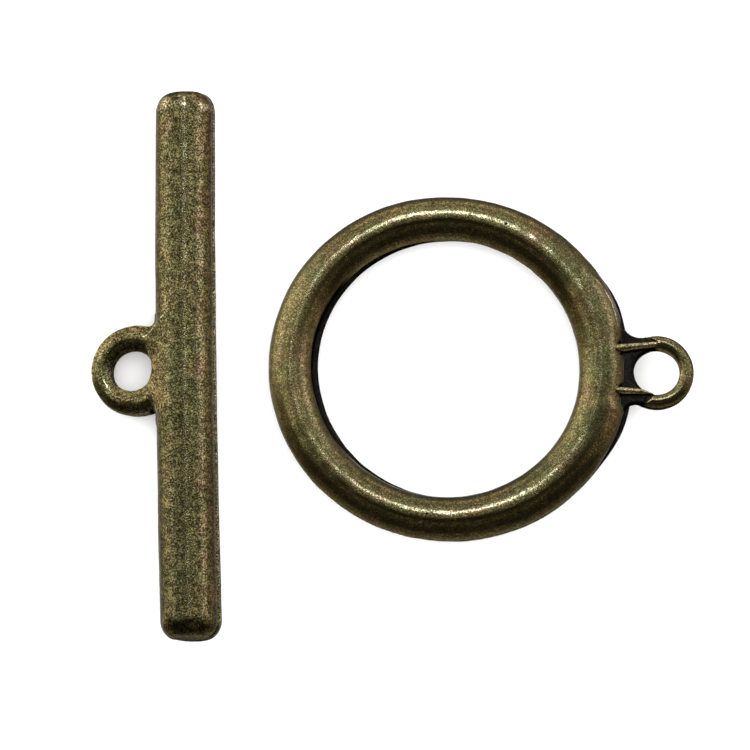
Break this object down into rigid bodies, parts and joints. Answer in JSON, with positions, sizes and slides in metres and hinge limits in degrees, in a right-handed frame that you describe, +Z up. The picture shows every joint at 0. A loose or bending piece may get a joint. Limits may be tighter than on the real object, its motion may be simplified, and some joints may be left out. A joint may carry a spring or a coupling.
{
  "type": "toggle clasp",
  "caption": "Toggle clasp in antique brass: a round bar with an eye on its side and a round ring with a small ribbed eye, lying side by side.",
  "frame": {"origin": "on the plane that both halves lie on, under the middle of the whole clasp's box", "axes": "+Z up from that plane; +Y along the toggle bar; +X from the bar across to the ring"},
  "size_m": [0.034, 0.0316, 0.0033],
  "materials": {
    "antique_brass_bar": "antiqued cast metal: worn dull brass over a dark patina, finely pitted",
    "antique_brass_ring": "antiqued cast metal: worn dull brass over a dark patina, finely pitted"
  },
  "bodies": {
    "root": {"toggle_bar": "antique_brass_bar", "toggle_ring": "antique_brass_ring"}
  },
  "joints": []
}
